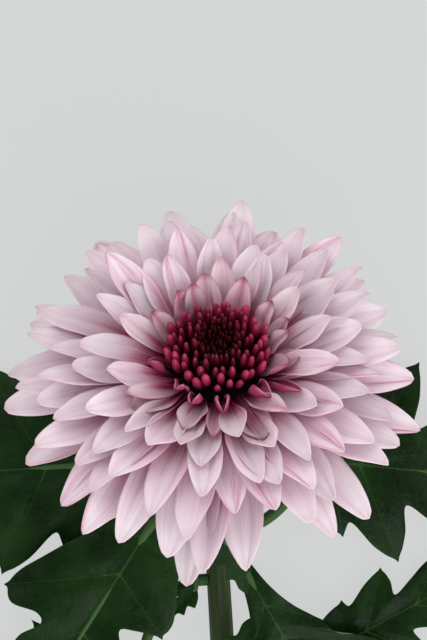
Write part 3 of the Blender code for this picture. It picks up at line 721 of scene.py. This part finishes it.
def make_calyx(material):
    shapes = Shapes()
    profile = [
        (HEAD_RADIUS - 2.2, -SEAT_GAP),
        (HEAD_RADIUS - 2.6, -2.5),
        (7.2, -5.5),
        (4.4, -7.8),
        (NECK_RADIUS + 0.5, -CALYX_DEPTH),
    ]
    add_turned(shapes, profile, 48, along=0.5, around=0.0, inner=0.0)
    for row, (count, low, high, radius) in enumerate(BRACT_ROWS):
        for i in range(count):
            turn = 2 * math.pi * (i + 0.5 * (row % 2)) / count
            along, across = np.meshgrid(np.linspace(0, 1, 12), np.linspace(-1, 1, 7), indexing="ij")
            half = 1.9 * np.sqrt(np.clip(1 - (2 * along - 0.9) ** 2 / 1.25, 0.002, 1))
            side = half * across
            height = low + (high - low) * along
            out = radius + np.interp(along, (0, 0.5, 1), (-1.6, 0.1, 0.9)) - 0.12 * side**2
            sine, cosine = math.sin(turn), math.cos(turn)
            grid = np.stack([out * sine + side * cosine, out * cosine - side * sine, height], axis=-1)
            shapes.add_sheet(to_table(grid), 0.5, along=along, around=across * 0.1 + i)
    shapes.build("calyx_fine", material, "calyx")


# Stem

NECK_HEIGHT = BASE_HEIGHT - NECK_STRAIGHT * math.sin(AXIS_ELEVATION) - STEM_RADIUS
BEND_RADIUS = NECK_HEIGHT / (1 - math.cos(AXIS_ELEVATION))
BEND_LENGTH = BEND_RADIUS * AXIS_ELEVATION


def stem_point(length):
    straight = min(length, NECK_STRAIGHT)
    point = BASE - AXIS * straight
    if length > NECK_STRAIGHT:
        left = AXIS_ELEVATION - min((length - NECK_STRAIGHT) / BEND_RADIUS, AXIS_ELEVATION)
        point += Vector(
            (
                0,
                BEND_RADIUS * (math.sin(left) - math.sin(AXIS_ELEVATION)),
                BEND_RADIUS * (math.cos(AXIS_ELEVATION) - math.cos(left)),
            )
        )
    run = max(length - NECK_STRAIGHT - BEND_LENGTH, 0)
    point += Vector((2.2 * math.sin(run / 34), -run, 0))
    return point


def stem_radius(length):
    return mix((NECK_RADIUS, STEM_RADIUS), float(smooth(length / 90)))


def make_stem(material):
    shapes = Shapes()
    start = CALYX_DEPTH + SEAT_GAP
    lengths = np.linspace(start, STEM_LENGTH, STEM_STEPS)
    centres = [np.array(stem_point(s)) for s in lengths]
    ribs = 0.985 + 0.035 * np.cos(STEM_RIBS * 2 * np.pi * np.arange(STEM_SIDES) / STEM_SIDES)
    radii = [stem_radius(s) for s in lengths]
    shapes.add_tube(centres, radii, STEM_SIDES, ribs, along=np.linspace(0, 1, STEM_STEPS))
    shapes.build("stem_fine", material, "stem")


# Leaves

LEAVES = {
    "leaf_left": dict(
        root=47, start=(-32, -22.8, 9), heading=184, length=80, sides=(0.86, 0.86), pitch=-4, fold=8
    ),
    "leaf_lower_left": dict(
        root=34, start=(-18, -38.8, 18), heading=238, length=74, sides=(0.88, 0.9), pitch=-7, fold=8, broad=1
    ),
    "leaf_right": dict(
        root=52, start=(26, -21.8, 8), heading=-6, length=72, sides=(0.85, 0.98), pitch=-3, fold=8
    ),
    "leaf_lower_right": dict(
        root=88, start=(31, -73.8, 4), heading=28, length=61, sides=(0.6, 0.52), pitch=1, fold=8
    ),
    "leaf_near_right": dict(
        root=41, start=(6, -48.8, 12.5), heading=-60, length=80, sides=(0.9, 0.9), pitch=-5, fold=10, wedge=1
    ),
    "leaf_near_left": dict(
        root=66, start=(-20, -72.8, 4), heading=198, length=56, sides=(0.9, 0.9), pitch=0, fold=5, wedge=1
    ),
    "leaf_small_right": dict(
        root=29, start=(2, -42.8, 19), heading=-68, length=16, sides=(0.9, 0.9), pitch=-8, fold=10, small=1
    ),
    "leaf_small_left": dict(
        root=60, start=(-6, -56.8, 7), heading=226, length=12, sides=(0.9, 0.9), pitch=0, fold=10, small=1
    ),
    "leaf_over_stem": dict(
        root=96, start=(2, -82.8, 13.5), heading=68, length=21, sides=(1.0, 1.0), pitch=6, fold=6, small=1
    ),
}

# Rows of a leaf, as shares of its length: where the row leaves the midrib, then how far along and how far
# out it reaches. The numbers after each set are the rows that end in a side vein.
ROWS = (
    (0.00, -0.01, 0.05),
    (0.01, -0.03, 0.18),
    (0.03, 0.05, 0.28),
    (0.06, 0.14, 0.31),
    (0.10, 0.17, 0.26),
    (0.14, 0.27, 0.36),
    (0.18, 0.36, 0.40),
    (0.22, 0.38, 0.29),
    (0.27, 0.37, 0.16),
    (0.33, 0.46, 0.21),
    (0.38, 0.56, 0.28),
    (0.43, 0.64, 0.28),
    (0.50, 0.63, 0.18),
    (0.56, 0.65, 0.10),
    (0.63, 0.74, 0.13),
    (0.70, 0.83, 0.14),
    (0.80, 0.91, 0.07),
)
VEIN_ROWS = (1, 3, 6, 11, 15)

WEDGE_ROWS = (
    (0.00, 0.02, 0.03),
    (0.06, 0.12, 0.05),
    (0.12, 0.22, 0.09),
    (0.17, 0.31, 0.15),
    (0.22, 0.38, 0.18),
    (0.26, 0.42, 0.24),
    (0.30, 0.48, 0.30),
    (0.34, 0.50, 0.22),
    (0.38, 0.50, 0.13),
    (0.43, 0.57, 0.19),
    (0.48, 0.65, 0.24),
    (0.53, 0.67, 0.17),
    (0.58, 0.67, 0.09),
    (0.64, 0.75, 0.12),
    (0.71, 0.83, 0.13),
    (0.80, 0.91, 0.07),
)
WEDGE_VEIN_ROWS = (3, 6, 10, 14)

BROAD_ROWS = (
    (0.00, -0.01, 0.06),
    (0.01, 0.03, 0.13),
    (0.05, 0.12, 0.19),
    (0.09, 0.21, 0.25),
    (0.13, 0.31, 0.31),
    (0.17, 0.40, 0.36),
    (0.21, 0.47, 0.37),
    (0.25, 0.52, 0.32),
    (0.30, 0.50, 0.21),
    (0.36, 0.53, 0.17),
    (0.42, 0.61, 0.22),
    (0.47, 0.68, 0.21),
    (0.53, 0.70, 0.13),
    (0.60, 0.72, 0.08),
    (0.66, 0.78, 0.11),
    (0.72, 0.86, 0.10),
    (0.82, 0.92, 0.06),
)
BROAD_LEFT = (
    (-0.01, 0.07),
    (0.03, 0.14),
    (0.08, 0.19),
    (0.15, 0.23),
    (0.22, 0.27),
    (0.28, 0.29),
    (0.33, 0.27),
    (0.36, 0.18),
    (0.39, 0.12),
    (0.45, 0.17),
    (0.52, 0.24),
    (0.59, 0.25),
    (0.63, 0.17),
    (0.67, 0.10),
    (0.74, 0.13),
    (0.83, 0.12),
    (0.91, 0.06),
)
BROAD_VEIN_ROWS = (2, 6, 11, 15)

SMALL_ROWS = (
    (0.00, -0.01, 0.05),
    (0.05, 0.12, 0.22),
    (0.18, 0.32, 0.32),
    (0.30, 0.42, 0.17),
    (0.42, 0.61, 0.25),
    (0.58, 0.69, 0.12),
    (0.75, 0.86, 0.10),
)
SMALL_VEIN_ROWS = (2, 4)


def spline(knots, steps):
    """A smooth line through knots, with steps points to each stretch."""
    knots = np.asarray(knots, float)
    ends = np.concatenate([[2 * knots[0] - knots[1]], knots, [2 * knots[-1] - knots[-2]]])
    made = []
    for i in range(1, len(ends) - 2):
        a, b, c, d = ends[i - 1], ends[i], ends[i + 1], ends[i + 2]
        for t in np.arange(steps) / steps:
            square = (2 * a - 5 * b + 4 * c - d) * t**2
            cube = (3 * b - a - 3 * c + d) * t**3
            made.append(0.5 * (2 * b + (c - a) * t + square + cube))
    made.append(ends[-2])
    return np.array(made)


def leaf_place(leaf, start):
    """The blade's surface as a function: millimetres along the midrib and sideways give a point."""
    heading = math.radians(leaf["heading"])
    forward = np.array([math.cos(heading), math.sin(heading), 0])
    side = np.array([-math.sin(heading), math.cos(heading), 0])
    up = np.array([0.0, 0.0, 1.0])

    def place(x, y, lift=0.0):
        x, y = np.asarray(x, float)[..., None], np.asarray(y, float)[..., None]
        lift = np.asarray(lift, float)[..., None]
        pitch = np.radians(leaf["pitch"] - 4 * x / leaf["length"])
        fold = math.sin(math.radians(leaf["fold"]))
        rise = x * np.sin(pitch) + np.sqrt(y * y + 0.3) * fold - 0.009 * y * y
        point = start + forward * (x * np.cos(pitch)) + side * y + up * (rise + lift)
        point[..., 2] = off_table(point[..., 2], 0.6)
        return point

    return place


def make_leaf(name, leaf, material):
    fine = random.Random(name)
    start = np.array([leaf["start"][0], BASE_Y + leaf["start"][1], leaf["start"][2]], float)
    place = leaf_place(leaf, start)
    size = leaf["length"]
    rows, veins = ROWS, VEIN_ROWS
    if leaf.get("wedge"):
        rows, veins = WEDGE_ROWS, WEDGE_VEIN_ROWS
    elif leaf.get("small"):
        rows, veins = SMALL_ROWS, SMALL_VEIN_ROWS
    left_rows = rows
    if leaf.get("broad"):
        rows, veins = BROAD_ROWS, BROAD_VEIN_ROWS
        left_rows = tuple((row[0], *side) for row, side in zip(BROAD_ROWS, BROAD_LEFT))
    sides = [np.array(some + ((0.97, 1.0, 0.004),)) * size for some in (rows, left_rows)]
    scale = min(size / 60, 1)
    shares = np.sin(np.linspace(0, math.pi / 2, BLADE_STEPS + 1))
    columns = []
    for sign, width, knots in zip((-1, 1), leaf["sides"], sides):
        line = spline(knots, MARGIN_STEPS)
        for k in veins:
            for step, push in ((-1, 0.35), (0, 1.5), (1, 0.35)):
                spot = line[MARGIN_STEPS * k + step]
                outwards = np.array([spot[1] - knots[k, 0], spot[2]])
                spot[1:] += push * scale * outwards / np.linalg.norm(outwards)
        tip = np.stack([line[:, 1], sign * width * line[:, 2]], axis=-1)
        root = np.stack([line[:, 0], 0 * line[:, 0]], axis=-1)
        side = root[:, None] + (tip - root)[:, None] * shares[None, :, None]
        columns.append(side[:, ::-1] if sign < 0 else side[:, 1:])
    flat = np.concatenate(columns, axis=1)
    x, y = flat[..., 0], flat[..., 1]
    nearest = np.abs(y)
    rib = nearest / ((0.12 + 0.34 * np.clip(1 - x / size, 0, 1)) * scale)
    for sign, width, knots in zip((-1, 1), leaf["sides"], sides):
        for k in veins:
            a = np.array([knots[k, 0], 0.0])
            b = np.array([knots[k, 1], sign * width * knots[k, 2]])
            reach = b - a
            t = np.clip(((x - a[0]) * reach[0] + (y - a[1]) * reach[1]) / (reach @ reach), 0, 1)
            off = (x - a[0] - t * reach[0]) * -reach[1] + (y - a[1] - t * reach[1]) * reach[0]
            gap = np.abs(off / np.linalg.norm(reach)) + 6 * (np.sign(y) != sign) * (np.abs(y) > 0.4)
            ends = np.hypot(x - a[0] - t * reach[0], y - a[1] - t * reach[1])
            gap = np.where((t <= 0) | (t >= 1), ends, gap)
            rib = np.minimum(rib, gap / ((0.24 - 0.12 * t) * scale))
            nearest = np.minimum(nearest, gap)
    quilt = 0.9 * (1 - np.exp(-((nearest / 2.6) ** 2))) - 0.45
    across = np.concatenate([-shares[::-1], shares[1:]])[None, :]
    ripple = 0.5 * np.sin(x * 0.33 + fine.uniform(0, 6)) * across**3
    ripple = ripple + 0.35 * np.sin(x * 0.13 + y * 0.2 + fine.uniform(0, 6))
    grid = place(x, y, (quilt * 0.7 + ripple) * scale)
    shapes = Shapes()
    rib = np.clip(rib[:, ::-1] / 4, 0, 1)
    shapes.add_sheet(grid[:, ::-1], LEAF_THICKNESS, rib=rib, chance=fine.random())
    middle = np.array(stem_point(leaf["root"]))
    along = np.array(stem_point(leaf["root"] + 1) - stem_point(leaf["root"] - 1))
    along /= np.linalg.norm(along)
    outwards = start - middle
    outwards -= along * outwards.dot(along)
    outwards /= np.linalg.norm(outwards)
    thick = mix((0.6, 1.5), min(size / 60, 1))
    root = middle + outwards * (stem_radius(leaf["root"]) - 0.3)
    elbow = middle + outwards * (stem_radius(leaf["root"]) + SEAT_GAP + 1.2 * thick)
    bend = elbow + outwards * 0.4 * np.linalg.norm(start - elbow)
    points, radii = [root], [thick * 1.15]
    for share in np.linspace(0, 1, 16)[:-1]:
        points.append((1 - share) ** 2 * elbow + 2 * share * (1 - share) * bend + share**2 * start)
        radii.append(thick * (1.15 - 0.15 * share))
    for point, radius in zip(points[2:], radii[2:]):
        point[2] = max(point[2], radius + 0.1)
    for share in np.linspace(0, 0.9, 24):
        point = place(share * size, 0.0)
        radius = min(thick * (0.15 + 0.85 * (1 - share) ** 2), max(0.5 * point[2] - 0.05, 0.15))
        point[2] -= radius * min(share / 0.10, 1)
        points.append(point)
        radii.append(radius)
    shapes.add_tube(points, radii, STALK_SIDES, rib=0.0, chance=0.5, inner=0.5)
    shapes.values.pop("around")
    shapes.build(name + "_fine", material, name)


# Table, camera and light

def floor():
    bpy.ops.mesh.primitive_plane_add(size=6)
    plane = bpy.context.object
    plane.name = "table"
    s = Shader("table")
    s.set("Base Color", TABLE_COLOUR)
    s.set("Roughness", 0.9)
    s.set("Specular IOR Level", 0.1)
    s.set("Emission Color", TABLE_GLOW)
    s.set("Emission Strength", TABLE_GLOW_STRENGTH)
    plane.data.materials.append(s.material)


def camera():
    data = bpy.data.cameras.new("camera")
    data.lens = CAMERA_LENS
    data.sensor_fit = "VERTICAL"
    data.sensor_height = 36
    data.clip_end = 10
    aim = (np.array(BASE + AXIS * CAMERA_AIM) + SHIFT) * MM
    obj = bpy.data.objects.new("camera", data)
    obj.location = aim + np.array(CAMERA_OFFSET)
    bpy.context.scene.collection.objects.link(obj)
    bpy.context.scene.camera = obj


def lights():
    bpy.context.scene.view_settings.view_transform = "Standard"
    world = bpy.data.worlds.new("studio")
    bpy.context.scene.world = world
    world.use_nodes = True
    nodes, links = world.node_tree.nodes, world.node_tree.links
    where = nodes.new("ShaderNodeTexCoord")
    split = nodes.new("ShaderNodeSeparateXYZ")
    ramp = nodes.new("ShaderNodeValToRGB")
    links.new(where.outputs["Generated"], split.inputs[0])
    links.new(split.outputs["Z"], ramp.inputs[0])
    links.new(ramp.outputs["Color"], nodes["Background"].inputs["Color"])
    for element, (position, colour) in zip(ramp.color_ramp.elements, SKY):
        element.position = position
        element.color = colour
    nodes["Background"].inputs["Strength"].default_value = SKY_STRENGTH
    for name, place, power in LIGHTS:
        data = bpy.data.lights.new(name, "AREA")
        data.size = LIGHT_SIZE
        data.energy = power
        obj = bpy.data.objects.new(name, data)
        obj.location = place
        obj.rotation_euler = (LIGHT_TARGET - Vector(place)).to_track_quat("-Z", "Y").to_euler()
        bpy.context.scene.collection.objects.link(obj)


green = stem_material()
leaf = leaf_material()
make_petals(petal_material())
make_centre(floret_material())
make_calyx(green)
make_stem(green)
for leaf_name, facts in LEAVES.items():
    make_leaf(leaf_name, facts, leaf)
floor()
camera()
lights()
